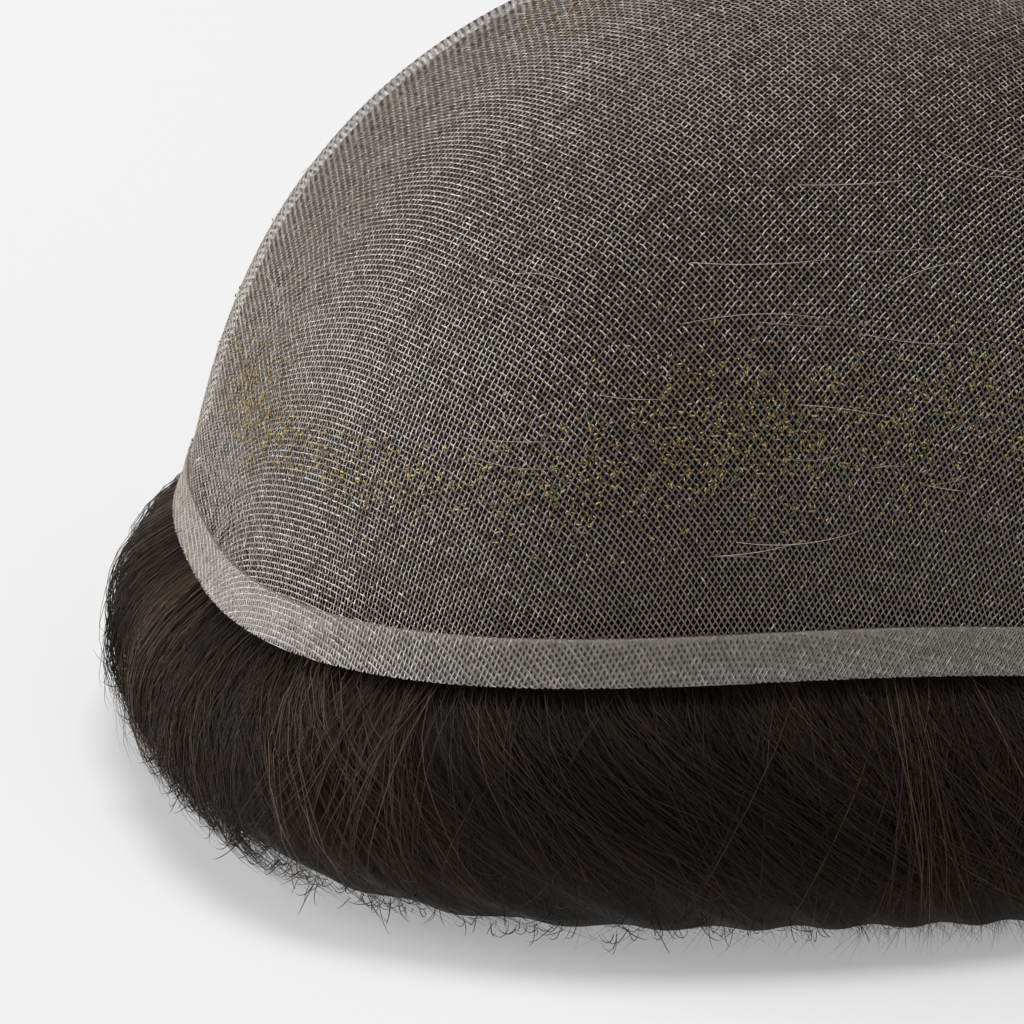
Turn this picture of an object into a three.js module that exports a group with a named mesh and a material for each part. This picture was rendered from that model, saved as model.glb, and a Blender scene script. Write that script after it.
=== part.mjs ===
// A toupee turned inside out, so that its base shows: a domed net whose scalp side faces out, a folded hem
// round its edge, the hair pressed flat under the net, and the locks that come out below the hem, bulge and
// rest on the floor. Millimetres, +Z up, X along the base's length with the hair combed towards +X, origin
// on the floor at the middle of the bounding box.
import * as THREE from 'three';

// Base: the net's plan at the hem's upper edge, and its crown
const BASE_LENGTH = 160;
const BASE_WIDTH = 120;
const CROWN_HEIGHT = 75.3; // from the hem's upper edge to the top of the net
const PLAN_SQUARENESS = 2.7; // exponent of the plan's superellipse: 2 is an ellipse, more is squarer
const CROWN_SQUARENESS = 1.97; // the same for the dome's upright section
const NET_THICKNESS = 1;

// Hem: the net folded back on itself, flaring out towards its lower edge
const HEM_WIDTH = 5.9;
const HEM_THICKNESS = 1.8;
const HEM_PROUD = 0.3; // how far the doubled net stands out from the single net
const FLARE = 4.9; // how far the lower edge is pushed out by the hair behind it
const FLARE_REACH = 12; // height in which the flare fades to about a third

// How the hem lies above the floor: its mean height, its fall towards +X, and its saddle
const RIM_HEIGHT = 31;
const RIM_FALL = 5;
const RIM_SADDLE = 3.6;

// Hair: the bed under the net, and the fringe that stands on the floor
const BED_THICKNESS = 5;
const BED_RELIEF = 1.2; // depth of the furrows between the locks inside the crown
const FRINGE_REACH = 8.8; // how far the fringe bulges out beyond the hem
const FRINGE_THICKNESS = 9; // thickness of the fringe where it bulges
const FOOT_SPREAD = 8; // how much further the tips spread at the +X end, where the hem lies low
const SOLE_WIDTH = 6; // width of the flat ring of hair that lies on the floor
const LOCKS = 48;
const LOCK_RELIEF = 1.5; // depth of the furrows between the fringe's locks
const LOCK_UNEVEN = 0.8; // how far one lock stands out beyond, or lies behind, the others
const TIP_NOTCH = 4; // how far the furrows open upward between the locks' tips
const TIP_UNEVEN = 1.5; // how much one notch differs from the others
const COMB_TURN = 0.45; // radians by which the tips at the sides are combed towards +X
const COMB_EASE = 1.3; // exponent: the locks leave the hem straight and turn more towards their tips
const REACH_STEP = 2.3; // radians that the locks' unevenness runs on by from each lock to the next
const NOTCH_STEP = 3.9; // the same for the notches

const GAP = 0.3; // between pieces

// Faceting: the net, the hem and the bed share one set of columns, so that their facets lie side by side
const COLUMNS = 60;
const DOME_ROWS = 11;
const LOCK_COLUMNS = [0, 1, 0.7]; // relief of each column of a lock: its furrow, its ridge and its flank

// The fringe's outer face, from the hem down: drop is a share of the way to the floor, out a share of
// FRINGE_REACH, and relief a share of LOCK_RELIEF.
const FRINGE_OUTER = [
  { drop: 0.05, out: 0.07, relief: 0 },
  { drop: 0.13, out: 0.45, relief: 0.3 },
  { drop: 0.27, out: 0.82, relief: 0.8 },
  { drop: 0.45, out: 1.0, relief: 1 },
  { drop: 0.63, out: 0.98, relief: 1 },
  { drop: 0.79, out: 0.68, relief: 1 },
  { drop: 0.91, out: 0.26, relief: 1 },
  { drop: 1.0, out: -0.25, relief: 1 },
];

// The fringe's inner face, from the floor up: back is its depth behind the outer face, as a share of
// FRINGE_THICKNESS.
const FRINGE_INNER = [
  { drop: 0.8, out: 0.5, back: 1.05 },
  { drop: 0.6, out: 0.85, back: 1.05 },
  { drop: 0.38, out: 0.9, back: 1 },
  { drop: 0.18, out: 0.55, back: 0.9 },
];

/** Height of the hem's lower edge above the floor, at an angle round the piece. */
function rimHeight(angle) {
  return RIM_HEIGHT - RIM_FALL * Math.cos(angle) - RIM_SADDLE * Math.cos(2 * angle);
}

/** Distance from the axis to the base's plan curve, moved in by inset, or out where inset is negative. */
function planRadius(angle, inset) {
  const across = Math.abs(Math.cos(angle)) / (BASE_LENGTH / 2 - inset);
  const along = Math.abs(Math.sin(angle)) / (BASE_WIDTH / 2 - inset);
  return (across ** PLAN_SQUARENESS + along ** PLAN_SQUARENESS) ** (-1 / PLAN_SQUARENESS);
}

function polar(angle, radius, z) {
  return new THREE.Vector3(radius * Math.cos(angle), radius * Math.sin(angle), z);
}

/** A point of the dome: share is 0 at the crown and 1 at the hem's upper edge, inset is its depth. */
function domePoint(angle, share, inset) {
  const turn = (share * Math.PI) / 2;
  const spread = Math.sin(turn) ** (2 / CROWN_SQUARENESS);
  const lift = Math.max(Math.cos(turn), 0) ** (2 / CROWN_SQUARENESS);
  const edge = rimHeight(angle) + HEM_WIDTH;
  const crown = RIM_HEIGHT + HEM_WIDTH + CROWN_HEIGHT - inset;
  const z = edge + lift * (crown - edge);
  const flare = FLARE * Math.exp(-(z - rimHeight(angle)) / FLARE_REACH);
  return polar(angle, spread * (planRadius(angle, inset) + flare), z);
}

/** A point of the upright wall below the dome, at a height above the hem's lower edge. */
function wallPoint(angle, height, inset) {
  const flare = FLARE * Math.exp(-height / FLARE_REACH);
  return polar(angle, planRadius(angle, inset) + flare, rimHeight(angle) + height);
}

/** A point of the fringe: drop is the share of the way from the hem to the floor, out is in millimetres. */
function fringePoint(angle, drop, out, lift = 0) {
  const combed = angle - COMB_TURN * Math.sin(angle) * drop ** COMB_EASE;
  const foot = FOOT_SPREAD * drop ** 2 * (0.5 + 0.5 * Math.cos(combed));
  const z = rimHeight(combed) * (1 - drop) + lift;
  return polar(combed, planRadius(combed, -out - foot) + FLARE, z);
}

/** An indexed geometry from points and triangles, with flat facets. */
function solid(points, triangles) {
  const geometry = new THREE.BufferGeometry().setFromPoints(points);
  geometry.setIndex(triangles);
  geometry.computeVertexNormals();
  return geometry;
}

/** The two triangles of a four-sided facet, split along its shorter diagonal. */
function facet(points, a, b, c, d) {
  const splitAtA = points[a].distanceTo(points[c]) <= points[b].distanceTo(points[d]);
  return splitAtA ? [a, b, c, a, c, d] : [b, c, d, b, d, a];
}

/** A closed ring: sections are like outlines, one for each column, each listed from outside to inside. */
function ringSolid(sections) {
  const size = sections[0].length;
  const points = sections.flat();
  const triangles = [];
  sections.forEach((_, column) => {
    const here = column * size;
    const next = ((column + 1) % sections.length) * size;
    for (let i = 0; i < size; i++) {
      const j = (i + 1) % size;
      triangles.push(...facet(points, here + i, here + j, next + j, next + i));
    }
  });
  return solid(points, triangles);
}

/** A domed shell, open below. faces gives the outer and the inner face as functions of angle and share. */
function shellSolid(outer, inner) {
  const columns = Array.from({ length: COLUMNS }, (_, i) => (2 * Math.PI * i) / COLUMNS);
  const points = [outer(0, 0), inner(0, 0)];
  const triangles = [];
  const outerAt = (column, row) => 2 + (column % COLUMNS) * 2 * DOME_ROWS + row - 1;
  const innerAt = (column, row) => outerAt(column, row) + DOME_ROWS;
  for (const angle of columns) {
    for (const face of [outer, inner]) {
      for (let row = 1; row <= DOME_ROWS; row++) points.push(face(angle, row / DOME_ROWS));
    }
  }
  for (let c = 0; c < COLUMNS; c++) {
    triangles.push(0, outerAt(c, 1), outerAt(c + 1, 1));
    triangles.push(1, innerAt(c + 1, 1), innerAt(c, 1));
    for (let r = 1; r < DOME_ROWS; r++) {
      triangles.push(outerAt(c, r), outerAt(c, r + 1), outerAt(c + 1, r + 1));
      triangles.push(outerAt(c, r), outerAt(c + 1, r + 1), outerAt(c + 1, r));
      triangles.push(innerAt(c, r), innerAt(c + 1, r + 1), innerAt(c, r + 1));
      triangles.push(innerAt(c, r), innerAt(c + 1, r), innerAt(c + 1, r + 1));
    }
    triangles.push(outerAt(c, DOME_ROWS), innerAt(c, DOME_ROWS), innerAt(c + 1, DOME_ROWS));
    triangles.push(outerAt(c, DOME_ROWS), innerAt(c + 1, DOME_ROWS), outerAt(c + 1, DOME_ROWS));
  }
  return solid(points, triangles);
}

/** The net: one layer from the crown down to the hem. */
function laceCap() {
  return shellSolid(
    (angle, share) => domePoint(angle, share, 0),
    (angle, share) => domePoint(angle, share, NET_THICKNESS),
  );
}

/** The hem: a doubled strip below the net, with its fold rounded at the lower edge. */
function hemBand() {
  const top = HEM_WIDTH - GAP;
  const inner = HEM_THICKNESS - HEM_PROUD;
  const middle = (inner - HEM_PROUD) / 2;
  const sections = [];
  for (let i = 0; i < COLUMNS; i++) {
    const angle = (2 * Math.PI * i) / COLUMNS;
    sections.push([
      wallPoint(angle, top, -HEM_PROUD),
      wallPoint(angle, HEM_THICKNESS / 2, -HEM_PROUD),
      wallPoint(angle, 0, middle),
      wallPoint(angle, HEM_THICKNESS / 2, inner),
      wallPoint(angle, top, inner),
    ]);
  }
  return ringSolid(sections);
}

/** The hair knotted to the net, pressed flat under it, with furrows on the side away from the net. */
function hairBed() {
  const outerDepth = NET_THICKNESS + GAP;
  const innerDepth = outerDepth + BED_THICKNESS;
  const furrow = (angle, share) => {
    const odd = Math.round((angle * COLUMNS) / (2 * Math.PI)) % 2;
    return odd * BED_RELIEF * Math.sin((share * Math.PI) / 2);
  };
  return shellSolid(
    (angle, share) => domePoint(angle, share, outerDepth),
    (angle, share) => domePoint(angle, share, innerDepth - furrow(angle, share)),
  );
}

/** The locks that come out below the hem, as one ring backed by the hair behind the hem. */
function hairFringe() {
  const columns = LOCKS * LOCK_COLUMNS.length;
  const tuckOuter = HEM_THICKNESS - HEM_PROUD + GAP;
  const tuckInner = tuckOuter + BED_THICKNESS;
  const soleEdge = FRINGE_OUTER.at(-1).out * FRINGE_REACH - LOCK_RELIEF - GAP;
  const sections = [];
  for (let i = 0; i < columns; i++) {
    const angle = (2 * Math.PI * i) / columns;
    const lock = Math.floor(i / LOCK_COLUMNS.length);
    const furrow = 1 - LOCK_COLUMNS[i % LOCK_COLUMNS.length];
    const reach = FRINGE_REACH + LOCK_UNEVEN * Math.sin(lock * REACH_STEP);
    const notch = furrow * (TIP_NOTCH + TIP_UNEVEN * Math.sin(lock * NOTCH_STEP));
    const outer = FRINGE_OUTER.map(({ drop, out, relief }, row) => {
      const lift = row === FRINGE_OUTER.length - 1 ? notch : 0;
      return fringePoint(angle, drop, out * reach - furrow * relief * LOCK_RELIEF, lift);
    });
    const inner = FRINGE_INNER.map(({ drop, out, back }) =>
      fringePoint(angle, drop, out * FRINGE_REACH - back * FRINGE_THICKNESS),
    );
    sections.push([
      wallPoint(angle, HEM_WIDTH - GAP, tuckOuter),
      wallPoint(angle, 0, tuckOuter),
      ...outer,
      fringePoint(angle, 1, soleEdge),
      fringePoint(angle, 1, soleEdge - SOLE_WIDTH),
      ...inner,
      wallPoint(angle, 0, tuckInner),
      wallPoint(angle, HEM_WIDTH - GAP, tuckInner),
    ]);
  }
  return ringSolid(sections);
}

/** A mesh with its name and the look of its material. */
function piece(name, geometry, color, roughness) {
  const material = new THREE.MeshStandardMaterial({ color, roughness, metalness: 0, flatShading: true });
  const mesh = new THREE.Mesh(geometry, material);
  mesh.name = name;
  return mesh;
}

const toupee = new THREE.Group();
toupee.add(piece('lace_cap', laceCap(), 0x7a716a, 0.6));
toupee.add(piece('hem_band', hemBand(), 0xb8b1ac, 0.5));
toupee.add(piece('hair_bed', hairBed(), 0x241f1c, 0.5));
toupee.add(piece('hair_fringe', hairFringe(), 0x1e1a18, 0.45));

// The combed tips make the two ends differ, so the piece is centred on its own box
const box = new THREE.Box3().setFromObject(toupee);
const centre = box.getCenter(new THREE.Vector3());
toupee.position.set(-centre.x, -centre.y, -box.min.z);
toupee.updateMatrixWorld(true);

export default toupee;
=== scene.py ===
import math

import bmesh
import bpy
import numpy as np
from mathutils import Matrix, Vector


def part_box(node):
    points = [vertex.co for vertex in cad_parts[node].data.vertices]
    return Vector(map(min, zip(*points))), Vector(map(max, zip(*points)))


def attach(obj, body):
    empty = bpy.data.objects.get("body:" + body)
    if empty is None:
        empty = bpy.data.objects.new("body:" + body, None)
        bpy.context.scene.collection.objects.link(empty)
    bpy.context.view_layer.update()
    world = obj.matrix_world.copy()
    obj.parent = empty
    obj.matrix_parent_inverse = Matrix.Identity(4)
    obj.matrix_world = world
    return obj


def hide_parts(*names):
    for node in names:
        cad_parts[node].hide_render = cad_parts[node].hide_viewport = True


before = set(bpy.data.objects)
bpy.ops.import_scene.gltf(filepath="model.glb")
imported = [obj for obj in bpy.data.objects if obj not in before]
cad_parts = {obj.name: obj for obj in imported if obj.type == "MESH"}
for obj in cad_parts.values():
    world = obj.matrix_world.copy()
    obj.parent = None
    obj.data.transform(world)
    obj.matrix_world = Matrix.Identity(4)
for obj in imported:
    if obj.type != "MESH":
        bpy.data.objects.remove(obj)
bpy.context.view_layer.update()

# Camera
# Seen a little from above and from the front left, so close that the crown and the right end are cut off.
# A long lens keeps the dome's outline nearly as it is, without much perspective.

MM = 0.001

cap_low, cap_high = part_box("lace_cap")
AXIS_X = (cap_low.x + cap_high.x) / 2 / MM
AXIS_Y = (cap_low.y + cap_high.y) / 2 / MM
RIM_HEIGHT = 31

VIEW_AZIMUTH = math.radians(-15.765)
VIEW_ELEVATION = math.radians(21.353)
VIEW_DISTANCE = 850
AIM_RIGHT = -39.95
AIM_UP = 0.33
FOCAL_MM = 219.64
SENSOR_MM = 36

view_back = Vector((
    math.sin(VIEW_AZIMUTH) * math.cos(VIEW_ELEVATION),
    -math.cos(VIEW_AZIMUTH) * math.cos(VIEW_ELEVATION),
    math.sin(VIEW_ELEVATION),
))
view_right = Vector((math.cos(VIEW_AZIMUTH), math.sin(VIEW_AZIMUTH), 0))
view_up = view_back.cross(view_right)
rim_centre = Vector((AXIS_X, AXIS_Y, RIM_HEIGHT))
camera_place = rim_centre + view_back * VIEW_DISTANCE
aim = rim_centre + view_right * AIM_RIGHT + view_up * AIM_UP

camera_data = bpy.data.cameras.new("camera")
camera_data.lens = FOCAL_MM
camera_data.sensor_width = SENSOR_MM
camera = bpy.data.objects.new("camera", camera_data)
bpy.context.scene.collection.objects.link(camera)
camera.location = camera_place * MM
camera.rotation_euler = (aim - camera_place).to_track_quat("-Z", "Y").to_euler()
bpy.context.scene.camera = camera


# Studio
# A pale seamless floor lit a little from below, one broad soft light low on the left, a smaller one high up
# behind, and a faint one from the front right.
# The view transform is the plain one, so that the pale floor stays pale.

def linear(hex_colour, alpha=1.0):
    """An sRGB hex colour as linear RGBA."""
    parts = [int(hex_colour[i:i + 2], 16) / 255 for i in (1, 3, 5)]
    curve = [c / 12.92 if c <= 0.04045 else ((c + 0.055) / 1.055) ** 2.4 for c in parts]
    return (*curve, alpha)


def new_material(name):
    """A material with its own empty tree, and that tree's Principled shader."""
    made = bpy.data.materials.new(name)
    made.use_nodes = True
    return made, made.node_tree.nodes["Principled BSDF"]


def add_node(material, kind, settings=None, inputs=None):
    """Adds a node to a material: settings are its options, inputs its values or other nodes' outputs."""
    made = material.node_tree.nodes.new("ShaderNode" + kind)
    for option, value in (settings or {}).items():
        setattr(made, option, value)
    for socket, value in (inputs or {}).items():
        if isinstance(value, bpy.types.NodeSocket):
            material.node_tree.links.new(value, made.inputs[socket])
        else:
            made.inputs[socket].default_value = value
    return made


def soft_light(name, azimuth, elevation, distance, size, power):
    """A square area light aimed at the middle of the piece, placed by its direction."""
    data = bpy.data.lights.new(name, "AREA")
    data.size = size
    data.energy = power
    light = bpy.data.objects.new(name, data)
    bpy.context.scene.collection.objects.link(light)
    flat = distance * math.cos(math.radians(elevation))
    light.location = (
        flat * math.sin(math.radians(azimuth)),
        -flat * math.cos(math.radians(azimuth)),
        distance * math.sin(math.radians(elevation)),
    )
    middle = Vector((0, 0, 0.05))
    light.rotation_euler = (middle - light.location).to_track_quat("-Z", "Y").to_euler()


FLOOR_SIZE = 12

floor_mesh = bmesh.new()
bmesh.ops.create_grid(floor_mesh, x_segments=1, y_segments=1, size=FLOOR_SIZE / 2)
floor_data = bpy.data.meshes.new("floor")
floor_mesh.to_mesh(floor_data)
floor_mesh.free()
floor = bpy.data.objects.new("floor", floor_data)
bpy.context.scene.collection.objects.link(floor)

# Matt white acrylic: no gloss at all, and a glow from below that keeps the shadows pale
floor_acrylic, floor_shader = new_material("backlit_matt_acrylic")
floor_shader.inputs["Base Color"].default_value = linear("#ababab")
floor_shader.inputs["Roughness"].default_value = 1.0
floor_shader.inputs["Specular IOR Level"].default_value = 0.0
floor_shader.inputs["Emission Color"].default_value = linear("#ffffff")
floor_shader.inputs["Emission Strength"].default_value = 0.33
floor_data.materials.append(floor_acrylic)

world = bpy.data.worlds.new("studio")
world.use_nodes = True
world.node_tree.nodes["Background"].inputs["Color"].default_value = linear("#ffffff")
world.node_tree.nodes["Background"].inputs["Strength"].default_value = 0.14
bpy.context.scene.world = world
bpy.context.scene.view_settings.view_transform = "Standard"

soft_light("light_left", azimuth=-114, elevation=19, distance=3, size=2.0, power=124)
soft_light("light_top", azimuth=165, elevation=84, distance=3, size=1.3, power=68)
soft_light("light_right", azimuth=25, elevation=38, distance=3, size=2.4, power=15)


# Lace cap
# The net that the hair is knotted to, turned inside out: a fine diamond net of thin monofilament, cut from a
# flat sheet and drawn over a head-shaped block, so its cells grow taller and narrower towards the edge.
# Each thread is a flattened strip, and the two families of threads pass over and under each other.

HALF_LENGTH = 80
HALF_WIDTH = 60
PLAN_POWER = 2.7
CROWN_POWER = 1.97
CROWN_HEIGHT = 75.3
HEM_WIDTH = 5.9
FLARE = 4.9
FLARE_REACH = 12
RIM_FALL = 5
RIM_SADDLE = 3.6

SHEET_HALF_LENGTH = 73.7
SHEET_HALF_WIDTH = 59.9
SHEET_POWER = 2.49
STRETCH = 0.624
THREAD_PITCH = 0.7
THREAD_WIDTH = 0.21
THREAD_LIFT = 0.07
THREAD_ROUNDNESS = 0.9
THREAD_KINKS = 0.22
NET_DEPTH = 0.2
SHEET_TURN = -0.122
SHEET_TWIST = -0.071


def rim_height(angle):
    """Height of the hem's lower edge above the floor."""
    return RIM_HEIGHT - RIM_FALL * np.cos(angle) - RIM_SADDLE * np.cos(2 * angle)


def plan_radius(angle, inset):
    """Distance from the axis to the base's plan curve, moved in by inset."""
    across = np.abs(np.cos(angle)) / (HALF_LENGTH - inset)
    along = np.abs(np.sin(angle)) / (HALF_WIDTH - inset)
    return (across ** PLAN_POWER + along ** PLAN_POWER) ** (-1 / PLAN_POWER)


def dome_point(angle, turn, inset, below=0.0):
    """A point of the dome by its turn from the crown, or below the dome's lower edge on the upright hem."""
    rim = rim_height(angle)
    edge = rim + HEM_WIDTH
    crown = RIM_HEIGHT + HEM_WIDTH + CROWN_HEIGHT - inset
    lift = np.clip(np.cos(turn), 0, None) ** (2 / CROWN_POWER)
    height = edge + lift * (crown - edge) - below
    flare = FLARE * np.exp(-(height - rim) / FLARE_REACH)
    radius = np.sin(turn) ** (2 / CROWN_POWER) * (plan_radius(angle, inset) + flare)
    return np.stack([AXIS_X + radius * np.cos(angle), AXIS_Y + radius * np.sin(angle), height], -1)


# How far out on the flat sheet the dome ends, what one unit of that measure is worth down the upright hem,
# and how far out the sheet itself ends
SHEET_HEM_TOP = 2 / STRETCH * math.sin(STRETCH * math.pi / 4)
SHEET_DROP = CROWN_HEIGHT / math.cos(STRETCH * math.pi / 4)
SHEET_RIM = SHEET_HEM_TOP + HEM_WIDTH / SHEET_DROP


def sheet_reach(x, y):
    """How far out points of the flat sheet lie, from 0 at the crown to SHEET_RIM at its cut edge."""
    a = np.abs(x) / SHEET_HALF_LENGTH
    b = np.abs(y) / SHEET_HALF_WIDTH
    return (a ** SHEET_POWER + b ** SHEET_POWER) ** (1 / SHEET_POWER)


def on_dome(x, y, inset):
    """Where points of the flat sheet come to lie on the dome and on the upright hem below it."""
    reach = sheet_reach(x, y)
    angle = np.arctan2(y / SHEET_HALF_WIDTH * HALF_WIDTH, x / SHEET_HALF_LENGTH * HALF_LENGTH)
    angle = angle + SHEET_TWIST * reach
    turn = 2 / STRETCH * np.arcsin(np.clip(reach * STRETCH / 2, 0, math.sin(STRETCH * math.pi / 4)))
    return dome_point(angle, turn, inset, np.clip(reach - SHEET_HEM_TOP, 0, None) * SHEET_DROP)


def unit(vectors):
    """The same directions, with length 1."""
    return vectors / (np.linalg.norm(vectors, axis=-1, keepdims=True) + 1e-12)


def new_piece(name, mesh, slot, material, *replaced):
    """Puts a finished mesh into the scene as a piece with its finish, standing for the CAD nodes named."""
    piece = bpy.data.objects.new(name, mesh)
    bpy.context.scene.collection.objects.link(piece)
    mesh.materials.append(material)
    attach(piece, "root")
    if replaced:
        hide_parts(*replaced)
    return piece


def net_mesh(name, from_reach, to_reach, depth, half=0, shift=(0.0, 0.0), width=THREAD_WIDTH, seed=1):
    """Crossing threads over the sheet between two reaches; half -1 or 1 keeps its front or back half."""
    count = int(1.04 * SHEET_HALF_LENGTH * SHEET_RIM / THREAD_PITCH)
    size = (count * THREAD_PITCH, (count + 0.25) * THREAD_PITCH, 1)
    net = bmesh.new()
    for family in (1, -1):
        grid = bmesh.ops.create_grid(net, x_segments=2 * count, y_segments=4 * count + 1, size=1)["verts"]
        bmesh.ops.scale(net, vec=size, verts=grid)
        bmesh.ops.translate(net, vec=(0, 0, family), verts=grid)
        gaps = [
            face for face in {f for v in grid for f in v.link_faces}
            if round(face.calc_center_median().y / THREAD_PITCH * 2) % 2
        ]
        bmesh.ops.delete(net, geom=gaps, context="FACES")
        family_verts = [v for v in net.verts if v.co.z == family]
        turned = Matrix.Rotation(SHEET_TURN + family * math.pi / 4, 3, "Z")
        bmesh.ops.rotate(net, cent=(0, 0, 0), matrix=turned, verts=family_verts)
    place = np.array([v.co[:2] for v in net.verts])
    reach = sheet_reach(place[:, 0] + shift[0], place[:, 1] + shift[1])
    for vertex, inside in zip(net.verts, (reach > from_reach) & (reach < to_reach)):
        vertex.tag = bool(inside)
    outside = [
        face for face in net.faces
        if not any(v.tag for v in face.verts) or face.calc_center_median().y * half < 0
    ]
    bmesh.ops.delete(net, geom=outside, context="FACES")
    mesh = bpy.data.meshes.new(name)
    net.to_mesh(mesh)
    net.free()

    flat = np.empty(len(mesh.vertices) * 3)
    mesh.vertices.foreach_get("co", flat)
    x, y, family = flat.reshape(-1, 3).T
    way = SHEET_TURN + family * math.pi / 4
    column = np.rint((x * np.cos(way) + y * np.sin(way)) / THREAD_PITCH)
    beside = (y * np.cos(way) - x * np.sin(way)) / THREAD_PITCH
    thread = np.rint(beside)
    side = np.sign(beside - thread)
    over = family * (1 - 2 * ((column + thread) % 2))
    spread = side * width / 2 - (beside - thread) * THREAD_PITCH
    x = x - spread * np.sin(way)
    y = y + spread * np.cos(way)
    random = np.random.default_rng(seed)
    x = x + shift[0] + random.normal(0, 0.022, len(x)) + 0.16 * np.sin(y / 5.3 + 2 * np.sin(x / 17))
    y = y + shift[1] + random.normal(0, 0.022, len(x)) + 0.16 * np.sin(x / 6.1 + 2 * np.sin(y / 13))
    reach = sheet_reach(x, y) + 1e-9
    x, y = np.array([x, y]) * np.clip(reach, from_reach, to_reach) / reach
    base = on_dome(x, y, depth)
    toward_x = on_dome(x + 0.05, y, depth) - base
    toward_y = on_dome(x, y + 0.05, depth) - base
    normal = unit(np.cross(toward_x, toward_y))
    across = unit(toward_y * np.cos(way)[:, None] - toward_x * np.sin(way)[:, None])
    lift = THREAD_LIFT * (over + random.normal(0, 0.25, len(x)))
    mesh.vertices.foreach_set("co", ((base + normal * lift[:, None]) * MM).ravel())
    mesh.update()
    mesh.shade_smooth()
    kinks = random.normal(0, THREAD_KINKS, normal.shape)
    rounded = unit(normal + THREAD_ROUNDNESS * side[:, None] * across + kinks)
    mesh.normals_split_custom_set_from_vertices(rounded.tolist())
    return mesh


def monofilament(name, dark, light, roughness):
    """Polyester monofilament whose colour drifts, and turns olive where knot sealer has wetted it."""
    made, shader = new_material(name)
    place = add_node(made, "TexCoord")
    drift = add_node(made, "TexNoise", inputs={
        "Vector": place.outputs["Object"], "Scale": 900.0, "Detail": 6.0, "Roughness": 0.75})
    colour = add_node(made, "ValToRGB", inputs={"Fac": drift.outputs["Fac"]})
    colour.color_ramp.elements[0].position = 0.35
    colour.color_ramp.elements[0].color = linear(dark)
    colour.color_ramp.elements[1].position = 0.68
    colour.color_ramp.elements[1].color = linear(light)
    height = add_node(made, "SeparateXYZ", inputs={"Vector": place.outputs["Object"]})
    belt = add_node(made, "ValToRGB", inputs={"Fac": add_node(made, "MapRange", inputs={
        "Value": height.outputs["Z"], "From Min": 0.045, "From Max": 0.085}).outputs["Result"]})
    belt.color_ramp.elements[0].color = (0, 0, 0, 1)
    belt.color_ramp.elements[1].color = (0, 0, 0, 1)
    for position in (0.3, 0.65):
        belt.color_ramp.elements.new(position).color = (1, 1, 1, 1)
    blotches = add_node(made, "TexNoise", inputs={
        "Vector": place.outputs["Object"], "Scale": 150.0, "Detail": 5.0, "Roughness": 0.7})
    stained = add_node(made, "MapRange", inputs={
        "Value": blotches.outputs["Fac"], "From Min": 0.48, "From Max": 0.62})
    mask = add_node(made, "Math", {"operation": "MULTIPLY"}, {
        0: belt.outputs["Color"], 1: stained.outputs["Result"]})
    olive = add_node(made, "Mix", {"data_type": "RGBA", "blend_type": "MULTIPLY"}, {
        "Factor": mask.outputs["Value"], 6: colour.outputs["Color"], 7: linear("#ebdbb2")})
    made.node_tree.links.new(olive.outputs[2], shader.inputs["Base Color"])
    shader.inputs["Roughness"].default_value = roughness
    shader.inputs["IOR"].default_value = 1.55
    shader.inputs["Specular IOR Level"].default_value = 1.0
    shader.inputs["Sheen Weight"].default_value = 1.0
    shader.inputs["Sheen Roughness"].default_value = 0.4
    shader.inputs["Sheen Tint"].default_value = linear("#f0e2d4")
    return made


# Drawn fibre, heat-set on the block: dull brown, with small bright glints along the round threads and a paler
# look where the eye meets the net at a low angle and its threads close up
lace_thread = monofilament("polyester_monofilament", "#2f271e", "#786a59", 0.25)

lace_front = new_piece(
    "lace_net_front", net_mesh("lace_net_front", 0, SHEET_RIM, NET_DEPTH, half=-1),
    "lace_net", lace_thread, "lace_cap",
)
lace_back = new_piece(
    "lace_net_back", net_mesh("lace_net_back", 0, SHEET_RIM, NET_DEPTH, half=1),
    "lace_net", lace_thread, "lace_cap",
)


# Hem band
# The net's edge, folded back on itself once and heat-set, so two layers lie over each other a third of a cell
# apart and nearly close the holes. It shows as a paler strip with fine upright grain and a clean lower edge.

PRESSED_WIDTH = 0.17
LAYER_SHIFT = 0.3 * THREAD_PITCH * math.sqrt(2)

# The same fibre, pressed flat by the iron, so it is paler and a little duller
pressed_thread = monofilament("pressed_monofilament", "#635d57", "#a19a93", 0.35)

# Each layer's depth under the dome's surface, its shift on the flat sheet and its seed
HEM_LAYERS = (
    ("hem_net_inner", -0.06, 0.0, 4),
    ("hem_net_outer", -0.2, LAYER_SHIFT, 3),
)

for name, depth, shift, seed in HEM_LAYERS:
    moved = (shift * math.cos(SHEET_TURN), shift * math.sin(SHEET_TURN))
    layer = net_mesh(name, SHEET_HEM_TOP, SHEET_RIM, depth, shift=moved, width=PRESSED_WIDTH, seed=seed)
    new_piece(name, layer, "folded_net", pressed_thread, "hem_band")


def ring_mesh(name, columns, rows, place):
    """A closed ring round the axis: place turns an angle and a share of the ring's outline into points."""
    ring = bmesh.new()
    ring.loops.layers.uv.new("strands")
    bmesh.ops.create_grid(ring, x_segments=columns, y_segments=rows, size=0.5, calc_uvs=True)
    flat = np.array([v.co[:] for v in ring.verts])
    for vertex, spot in zip(ring.verts, place((flat[:, 0] + 0.5) * 2 * math.pi, flat[:, 1] + 0.5) * MM):
        vertex.co = spot
    bmesh.ops.remove_doubles(ring, verts=ring.verts, dist=0.00001)
    ends = [e for e in ring.edges if e.is_boundary]
    if ends:
        bmesh.ops.bridge_loops(ring, edges=ends)
    bmesh.ops.recalc_face_normals(ring, faces=ring.faces)
    mesh = bpy.data.meshes.new(name)
    ring.to_mesh(mesh)
    ring.free()
    mesh.shade_smooth()
    return mesh


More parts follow.
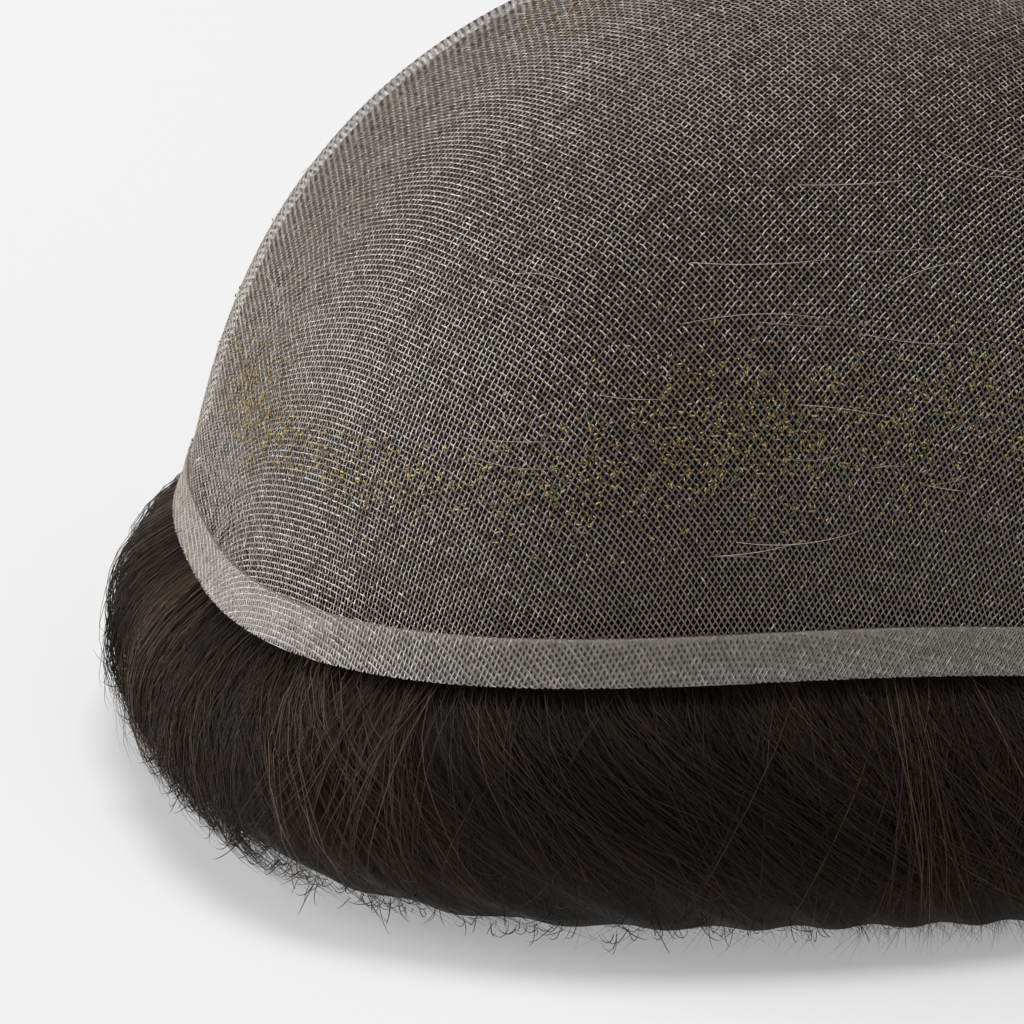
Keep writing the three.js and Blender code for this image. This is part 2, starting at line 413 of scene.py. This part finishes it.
# The fold's section, from its top round the rim and back up inside: heights above the rim, and insets
FOLD_COLUMNS = 360
FOLD_HEIGHTS = np.array([5.8, 3.0, 0.5, 0.12, 0.0, 0.12, 0.5, 3.0, 5.8])
FOLD_INSETS = np.array([0.08, 0.05, 0.02, 0.06, 0.18, 0.36, 0.45, 0.45, 0.45])


def fold_outline(angle, share):
    """The inner layers of the fold, which close its lower edge and show between the outer threads."""
    row = np.rint(share * (len(FOLD_HEIGHTS) - 1)).astype(int)
    return dome_point(angle, math.pi / 2, FOLD_INSETS[row], HEM_WIDTH - FOLD_HEIGHTS[row])


# Where the layers lie on each other inside the fold less light comes back, so the fold's colour is painted
# darker than the net's: painted shade
fold_shade_thread = monofilament("fold_monofilament_painted_shade", "#241f1b", "#3d3731", 0.5)

fold_mesh = ring_mesh("hem_fold", FOLD_COLUMNS, len(FOLD_HEIGHTS) - 1, fold_outline)
fold = new_piece("hem_fold", fold_mesh, "folded_net", fold_shade_thread, "hem_band")


# Hair bed
# The hair that is knotted to the net, pressed flat under it: human hair, nearly black, combed out from the
# crown; it lines the hollow, so it is also what shows from below.

BED_DEPTH = 1.3
BED_THICKNESS = 5
BED_COLUMNS = 240
BED_ROWS = 61


def bed_outline(angle, share):
    """The bed's wall: down its outer face to the hem, then back up its inner face."""
    down = np.where(share < 0.5, share * 2, (1 - share) * 2)
    inset = np.where(share < 0.5, BED_DEPTH, BED_DEPTH + BED_THICKNESS)
    return dome_point(angle, down * math.pi / 2, inset)


def hair_mass(name, dark, light):
    """Human hair, dyed nearly black, as one mass: hardly any gloss, and fine streaks that run along it."""
    made, shader = new_material(name)
    strands = add_node(made, "UVMap", {"uv_map": "strands"})
    stretch = add_node(made, "Mapping", inputs={"Vector": strands.outputs["UV"], "Scale": (700, 6, 1)})
    streaks = add_node(made, "TexNoise", inputs={
        "Vector": stretch.outputs["Vector"], "Scale": 1.0, "Detail": 3.0, "Roughness": 0.6})
    colour = add_node(made, "ValToRGB", inputs={"Fac": streaks.outputs["Fac"]})
    colour.color_ramp.elements[0].position = 0.35
    colour.color_ramp.elements[0].color = linear(dark)
    colour.color_ramp.elements[1].position = 0.7
    colour.color_ramp.elements[1].color = linear(light)
    bump = add_node(made, "Bump", inputs={
        "Height": streaks.outputs["Fac"], "Strength": 0.5, "Distance": 0.0003})
    made.node_tree.links.new(colour.outputs["Color"], shader.inputs["Base Color"])
    made.node_tree.links.new(bump.outputs["Normal"], shader.inputs["Normal"])
    shader.inputs["Roughness"].default_value = 0.6
    shader.inputs["Specular IOR Level"].default_value = 0.12
    shader.inputs["Sheen Weight"].default_value = 0.08
    shader.inputs["Sheen Roughness"].default_value = 0.3
    shader.inputs["IOR"].default_value = 1.55
    return made


# Pressed flat under the net, where it only shows through the holes: its colour is painted far darker than the
# fringe's, as painted shade for the dark under the net
shaded_bed_hair = hair_mass("bed_hair_painted_shade", "#040303", "#0e0b09")

bed_mesh = ring_mesh("hair_bed_body", BED_COLUMNS, BED_ROWS, bed_outline)
new_piece("hair_bed_body", bed_mesh, "hair_under_net", shaded_bed_hair, "hair_bed")


# Hair fringe
# The hair that comes out below the hem. It is combed towards the right end, bulges over its own weight and
# rests on the floor on its tips. It is one dark mass with strands in locks over it.

FRINGE_REACH = 8.8
FOOT_SPREAD = 8
COMB_TURN = 0.37
COMB_LEAN = 0.5
COMB_EASE = 1.05

# FRINGE_DROPS are shares of the way from the hem to the floor, FRINGE_OUTS shares of FRINGE_REACH there, and
# PROFILE_STEPS the steps over which the profile is evened out
FRINGE_DROPS = [-0.16, -0.06, 0.05, 0.13, 0.27, 0.45, 0.63, 0.79, 0.91, 1.0]
FRINGE_OUTS = [-0.66, -0.56, 0.0, 0.42, 0.84, 1.02, 1.0, 0.7, 0.28, -0.2]
PROFILE_STEPS = (-0.06, -0.03, 0, 0.03, 0.06)


def fringe_surface(angle, drop, depth=0.0, turn=0.0):
    """A point of the fringe's outer face, moved in by depth and round by turn (millimetres, radians)."""
    comb = (COMB_TURN + turn) * np.sin(angle) * (1 - COMB_LEAN * np.cos(angle))
    combed = angle - comb * np.clip(drop, 0, None) ** COMB_EASE
    foot = FOOT_SPREAD * np.clip(drop, 0, None) ** 2 * (0.5 + 0.5 * np.cos(combed))
    profile = sum(np.interp(drop + step, FRINGE_DROPS, FRINGE_OUTS) for step in PROFILE_STEPS)
    profile = profile / len(PROFILE_STEPS)
    flare = FLARE * np.exp(np.clip(drop, None, 0) * RIM_HEIGHT / FLARE_REACH)
    radius = plan_radius(combed, depth - profile * FRINGE_REACH - foot) + flare
    height = rim_height(combed) * (1 - drop)
    return np.stack([AXIS_X + radius * np.cos(combed), AXIS_Y + radius * np.sin(combed), height], -1)


# The mass from its top behind the hem to its foot; the hair over it starts at the same height
MASS_TOP = -0.15
MASS_FOOT = 0.985
MASS_DEPTH = 1.5
MASS_COLUMNS = 384
MASS_ROWS = 40
MASS_DROPS = [-0.15, 0.1, 0.3, 0.6, 0.9, 1.0]
MASS_THICKNESS = [5.0, 7.0, 9.0, 9.0, 6.5, 6.0]
LOCKS = 48
LOCK_RELIEF = 1.5

# At the front left the ends are thinned: how far in the mass goes there, and how much shorter the hairs are.
# Along the front right they splay: how far the hairs and the mass go out, and how much longer the hairs are.
THIN_ANGLE = -2.6
THIN_DEPTH = 2.2
THIN_END = 0.08
TIP_SPREAD = 7.0
TIP_REACH = 0.12
MASS_SPREAD = 3.5
FOOT_TUCK = 0.2


def thinning(angle):
    """How much sparser and shorter the hair ends are: 1 at the front left, 0 away from it."""
    return np.clip(np.cos(angle - THIN_ANGLE), 0, 1) ** 5


def splaying(angle):
    """How much the hair ends lie out over the floor: up to 1 along the front and the front right."""
    return np.clip(-np.sin(angle), 0, 1) ** 2 * np.clip(np.cos(angle) + 0.7, 0, 1)


def fringe_outline(angle, share):
    """The dark mass: down its outer face, across the sole, and up its inner face."""
    outer = share <= 0.5
    down = np.where(outer, share, 1 - share) * 2
    drop = MASS_TOP + (MASS_FOOT - MASS_TOP) * down
    furrow = LOCK_RELIEF * (0.5 + 0.5 * np.cos(LOCKS * angle)) * np.clip(drop, 0, 1)
    thick = np.interp(drop, MASS_DROPS, MASS_THICKNESS)
    at_foot = FOOT_TUCK + THIN_DEPTH * thinning(angle) - MASS_SPREAD * splaying(angle)
    tuck = np.clip(drop, 0, 1) ** 3 * at_foot
    return fringe_surface(angle, drop, MASS_DEPTH + tuck + np.where(outer, furrow, thick - tuck))


# The shaded depth of the fringe, between and behind its strands
shaded_hair = hair_mass("shaded_dark_hair", "#110e0d", "#2a231e")

mass_mesh = ring_mesh("fringe_body", MASS_COLUMNS, MASS_ROWS, fringe_outline)
new_piece("fringe_body", mass_mesh, "hair_locks", shaded_hair, "hair_fringe")


# Each hair's width along it, as shares of its length and of its full width
TAPER_SHARES = [0, 0.15, 0.6, 1]
TAPER_WIDTHS = [0.7, 1, 0.85, 0.25]
TIP_BROWNING = 0.15


def strand_mesh(name, paths, width, tint):
    """Many hairs as one mesh, each a three-sided taper; paths holds each hair's points from root to tip."""
    count, points, _ = paths.shape
    pattern = bmesh.new()
    bmesh.ops.create_circle(pattern, segments=3, radius=1, cap_ends=True)
    end = pattern.faces[:]
    for step in range(1, points):
        grown = bmesh.ops.extrude_face_region(pattern, geom=end)["geom"]
        if step > 1:
            bmesh.ops.delete(pattern, geom=end, context="FACES_ONLY")
        end = [part for part in grown if isinstance(part, bmesh.types.BMFace)]
        bmesh.ops.translate(pattern, vec=(0, 0, 1), verts=end[0].verts)
    bmesh.ops.pointmerge(pattern, verts=end[0].verts[:], merge_co=(0, 0, points - 1))
    bmesh.ops.recalc_face_normals(pattern, faces=pattern.faces)
    pattern.verts.index_update()
    side = np.array([v.co[:] for v in pattern.verts])
    faces = [[v.index for v in f.verts] for f in pattern.faces]
    pattern.free()

    ring = np.rint(side[:, 2]).astype(int)
    along = unit(np.gradient(paths, axis=1))
    across = unit(np.cross(along, paths * [1, 1, 0.3] - [AXIS_X, AXIS_Y, 0]))
    outward = np.cross(along, across)
    share = np.linspace(0, 1, points)[ring]
    radius = width[:, None] / 2 * np.interp(share, TAPER_SHARES, TAPER_WIDTHS)
    places = (
        paths[:, ring]
        + across[:, ring] * (side[:, 0] * radius)[..., None]
        + outward[:, ring] * (side[:, 1] * radius)[..., None]
    )
    joined = [[v + len(side) * hair for v in face] for hair in range(count) for face in faces]
    mesh = bpy.data.meshes.new(name)
    mesh.from_pydata((places.reshape(-1, 3) * MM).tolist(), [], joined)
    browner = tint[:, None] + TIP_BROWNING * share ** 3
    mesh.attributes.new("tint", "FLOAT", "POINT").data.foreach_set("value", browner.ravel())
    mesh.shade_smooth()
    return mesh


# Single hairs: the same nearly black dye, red-brown in some locks, the odd one paler, and hardly any gloss
hair_strand, strand_shader = new_material("dark_hair_strand")
strand_tint = add_node(hair_strand, "Attribute", {"attribute_name": "tint"})
strand_colour = add_node(hair_strand, "ValToRGB", inputs={"Fac": strand_tint.outputs["Fac"]})
strand_ramp = strand_colour.color_ramp
strand_ramp.elements[0].color = linear("#1f1c1b")
strand_ramp.elements[1].color = linear("#7d6c5a")
for position, colour in ((0.5, "#37312d"), (0.8, "#4a3d32"), (0.95, "#5e4e40")):
    strand_ramp.elements.new(position).color = linear(colour)
hair_strand.node_tree.links.new(strand_colour.outputs["Color"], strand_shader.inputs["Base Color"])
strand_shader.inputs["Roughness"].default_value = 0.5
strand_shader.inputs["Specular IOR Level"].default_value = 0.13
strand_shader.inputs["Specular Tint"].default_value = linear("#f5dcc0")
strand_shader.inputs["IOR"].default_value = 1.55


# How far locks and single hairs stray, as standard deviations: turns and bends in radians, the rest in
# millimetres or, for END_SPREAD, as a share of the way to the floor
LOCK_TURN = 0.2
LOCK_SINK = 1.1
LOCK_SWELL = 0.6
LOCK_BEND = 0.035
HAIR_TURN = 0.12
HAIR_WAVE = 0.012
HAIR_SINK = 0.4
END_SPREAD = 0.07
CURL_START = 0.55
CURL_SPREAD = 0.9
LOOSE_MOST = 4
FLOOR_GAP = 0.15


def fringe_hairs(name, count, locks, seed, depth, ends, flick, points=10):
    """A layer of the fringe's hairs, drawn together in locks, from behind the hem down to the floor."""
    random = np.random.default_rng(seed)
    lock = random.integers(0, locks, count)
    lock_angle = (np.arange(locks) + random.uniform(-0.4, 0.4, locks)) / locks * 2 * math.pi
    swirl = 0.16 * np.sin(5 * lock_angle + seed) + 0.14 * np.sin(13 * lock_angle + 2 * seed)
    lock_turn = random.normal(0, LOCK_TURN, locks) + swirl
    lock_depth = random.normal(0, LOCK_SINK, locks)
    lock_swell = random.normal(0.2, LOCK_SWELL, locks)
    lock_tint = random.uniform(-0.1, 0.75, locks)
    lock_kick = random.exponential(1, locks).clip(0, 3)
    lock_end = random.uniform(*ends, locks)
    lock_pull = random.uniform(-0.1, 0.85, locks)
    lock_bend = random.normal(0, LOCK_BEND, locks)
    offset = random.normal(0, 0.55, count) / locks * 2 * math.pi
    share = np.linspace(0, 1, points)
    end = lock_end[lock] + random.normal(0, END_SPREAD, count)
    end = end - THIN_END * thinning(lock_angle[lock]) + TIP_REACH * splaying(lock_angle[lock])
    end = np.clip(end, 0.5, 1.02)[:, None]
    drop = MASS_TOP + (end - MASS_TOP) * share
    angle = lock_angle[lock][:, None] + offset[:, None] * (1 - lock_pull[lock][:, None] * share ** 1.5)
    wave = random.normal(0, 1, (count, 4))[:, :, None]
    angle = angle + lock_bend[lock][:, None] * np.sin(share * 5) * share
    angle = angle + HAIR_WAVE * wave[:, 3] * np.sin(share * (4 + 2 * wave[:, 0]) + wave[:, 1] * 6) * share
    turn = lock_turn[lock][:, None] + HAIR_TURN * wave[:, 2]
    deep = depth + random.normal(0, HAIR_SINK, count)[:, None] + lock_depth[lock][:, None] * share ** 2
    deep = deep + lock_swell[lock][:, None] * np.sin(share * math.pi)
    deep = deep - TIP_SPREAD * splaying(angle) * np.clip((drop - 0.6) / 0.4, 0, 1) ** 2
    paths = fringe_surface(angle, drop, deep, turn)
    outward = unit((paths - [AXIS_X, AXIS_Y, 0]) * [1, 1, 0])
    around = np.stack([-outward[..., 1], outward[..., 0], outward[..., 2]], -1)
    tip = np.clip((share - CURL_START) / (1 - CURL_START), 0, 1)[None, :, None]
    loose = flick * (0.3 + lock_kick[lock]) * random.exponential(1, count)
    loose = loose.clip(0, LOOSE_MOST)[:, None, None]
    curl = random.normal(0, CURL_SPREAD, (count, 2))[:, :, None, None]
    paths = paths + outward * loose * tip ** 1.5 + around * curl[:, 0] * loose * tip ** 2
    paths[..., 2] += (0.5 * np.abs(curl[:, 1]) * loose * tip ** 3)[..., 0]
    paths[..., 2] = np.maximum(paths[..., 2], FLOOR_GAP)
    tint = (lock_tint[lock] + random.normal(0, 0.16, count)).clip(0, 0.95)
    mesh = strand_mesh(name, paths, random.uniform(0.08, 0.16, count), tint)
    new_piece(name, mesh, "hair_locks", hair_strand)


# Hairs, locks, seed, depth, range of the locks' ends, how far the tips flick out, and points in a hair
fringe_hairs("fringe_under_hairs", 2000, 150, 11, 1.6, (0.93, 1.02), 0.15, 8)
fringe_hairs("fringe_middle_hairs", 3200, 110, 12, 1.0, (0.84, 1.02), 0.5)
fringe_hairs("fringe_top_hairs", 3200, 90, 13, 0.5, (0.76, 1.02), 0.7)
fringe_hairs("fringe_loose_hairs", 1700, 210, 14, 0.8, (0.88, 1.02), 1.2, 8)


# Frizz
# The shortest hair ends, which curl up off the floor round the fringe's foot. Three in four stand at the
# front left, the others along the right end and the back.

FRIZZ_ANGLE = -2.7
FRIZZ_SPREAD = 0.42

random = np.random.default_rng(21)
count = 1000
steps = np.linspace(0, 1, 6)
at_left = random.normal(FRIZZ_ANGLE, FRIZZ_SPREAD, count)
elsewhere = random.uniform(0, 3.6, count)
angle = np.where(np.arange(count) % 4 > 0, at_left, elsewhere)[:, None]
drop = random.uniform(0.6, 0.95, count)[:, None]
root = fringe_surface(angle, drop, random.uniform(0.8, 3.0, count)[:, None])
outward = unit((root - [AXIS_X, AXIS_Y, 0]) * [1, 1, 0])
around = np.stack([-outward[..., 1], outward[..., 0], outward[..., 2]], -1)
length = random.uniform(1.5, 5.5, count)[:, None]
clump = 0.6 * np.sin(23 * angle) + 0.5 * np.sin(61 * angle)
heading = 0.6 + clump + random.normal(0, 0.5, count)[:, None]
heading = heading + random.normal(0, 0.9, count)[:, None] * steps
reach = np.cumsum(np.cos(heading), axis=1) / len(steps) * length
sideways = np.cumsum(np.sin(heading), axis=1) / len(steps) * length
fall = random.uniform(-0.9, 0.1, count)[:, None]
climb = (fall * steps + random.uniform(0, 1.1, count)[:, None] * steps ** 3) * length
frizz = root + outward * reach[..., None] + around * sideways[..., None]
lowest = FLOOR_GAP + 0.3 * random.uniform(0, 1, count)[:, None] * steps
frizz[..., 2] = np.maximum(root[..., 2] + climb, lowest)
width = random.uniform(0.1, 0.16, count)
frizz_mesh = strand_mesh("fringe_frizz", frizz, width, random.uniform(0.1, 0.8, count))
new_piece("fringe_frizz", frizz_mesh, "hair_locks", hair_strand)


# Knots and stray hairs
# Where the hairs are tied to the net their knots show as ochre specks, thickest in a belt above the hem.
# A few loose pale hairs have caught on the net and lie round it.

# Belts of knots: middle and spread of the angle in degrees, middle and spread of the height, and how many
KNOT_BELTS = (
    (-114, 9, 66, 6, 1000),
    (-92, 8, 65, 6, 500),
    (-76, 8, 68, 6, 450),
    (-58, 10, 64, 6, 350),
    (-174, 8, 58, 3.6, 700),
    (-152, 9, 57, 2.6, 450),
    (-134, 8, 60, 4, 350),
    (180, 9, 104, 2.5, 50),
    (60, 70, 62, 6, 500),
)


def turn_at(angle, height):
    """The turn from the crown at which the dome has this height."""
    edge = rim_height(angle) + HEM_WIDTH
    lift = (height - edge) / (RIM_HEIGHT + HEM_WIDTH + CROWN_HEIGHT - edge)
    return np.arccos(np.clip(lift, 0, 1) ** (CROWN_POWER / 2))


def on_net(angle, height, proud):
    """A point of the net by its angle and height, standing proud of it."""
    return dome_point(angle, turn_at(angle, height), -proud)


random = np.random.default_rng(31)
places = np.concatenate([
    np.stack([random.normal(angle, spread, number), random.normal(height, rise, number)], -1)
    for angle, spread, height, rise, number in KNOT_BELTS
])
count = len(places)
steps = np.linspace(-0.5, 0.5, 3)
length = random.uniform(0.25, 0.7, count)[:, None]
heading = random.uniform(0, math.pi, count)[:, None] + random.normal(0, 0.9, count)[:, None] * steps
angle = np.radians(places[:, :1]) + length * steps * np.cos(heading) / 62
height = places[:, 1:] + length * steps * np.sin(heading)
knots = on_net(angle, height, 0.02 + 0.1 * random.uniform(0, 1, count)[:, None] * (1 - 4 * steps ** 2))

# The knots' sealer has dried to a dull ochre yellow, here and there nearly brown
knot_sealer, knot_shader = new_material("dried_knot_sealer")
knot_tint = add_node(knot_sealer, "Attribute", {"attribute_name": "tint"})
knot_colour = add_node(knot_sealer, "ValToRGB", inputs={"Fac": knot_tint.outputs["Fac"]})
knot_colour.color_ramp.elements[0].color = linear("#54411f")
knot_colour.color_ramp.elements[1].color = linear("#d0b978")
knot_colour.color_ramp.elements.new(0.6).color = linear("#a08644")
knot_sealer.node_tree.links.new(knot_colour.outputs["Color"], knot_shader.inputs["Base Color"])
knot_shader.inputs["Roughness"].default_value = 0.45

knot_mesh = strand_mesh("knots", knots, random.uniform(0.16, 0.3, count), random.uniform(0, 0.95, count))
new_piece("knots", knot_mesh, "hair_under_net", knot_sealer)

# Stray hairs: middle angle in degrees, height and length in millimetres; three lie at each place
STRAYS = (
    (-132, 66, 26), (-115, 82, 34), (-93, 85, 30), (-109, 52, 22), (-140, 84, 20), (-100, 69, 26),
    (-84, 60, 18), (-165, 78, 16), (-72, 92, 24), (-60, 70, 22), (30, 70, 26), (75, 84, 30),
    (110, 60, 24), (150, 76, 22),
)
STRAY_PROUD = 0.16
STRAY_WIDTH = 0.085

steps = np.linspace(-0.5, 0.5, 14)
strays = []
for middle, level, span in STRAYS:
    for _ in range(3):
        length = span * random.uniform(0.25, 0.9)
        tilt = random.normal(0, 0.1)
        bow = random.normal(0, 0.04) * length
        angle = math.radians(middle + random.normal(0, 6)) + length * steps / 68
        height = level + random.normal(0, 3.5) + tilt * length * steps + bow * (steps * 2) ** 2
        strays.append(on_net(angle, height, STRAY_PROUD))
strays = np.array(strays)
count = len(strays)

# A hair without dye, nearly clear: it only shows as a thin pale line
undyed_hair, undyed_shader = new_material("undyed_hair")
undyed_tint = add_node(undyed_hair, "Attribute", {"attribute_name": "tint"})
undyed_colour = add_node(undyed_hair, "ValToRGB", inputs={"Fac": undyed_tint.outputs["Fac"]})
undyed_colour.color_ramp.elements[0].color = linear("#6b6257")
undyed_colour.color_ramp.elements[1].color = linear("#c8bfb2")
undyed_hair.node_tree.links.new(undyed_colour.outputs["Color"], undyed_shader.inputs["Base Color"])
undyed_shader.inputs["Roughness"].default_value = 0.35
undyed_shader.inputs["IOR"].default_value = 1.55

stray_mesh = strand_mesh("stray_hairs", strays, np.full(count, STRAY_WIDTH), random.uniform(0, 0.8, count))
new_piece("stray_hairs", stray_mesh, "hair_under_net", undyed_hair)
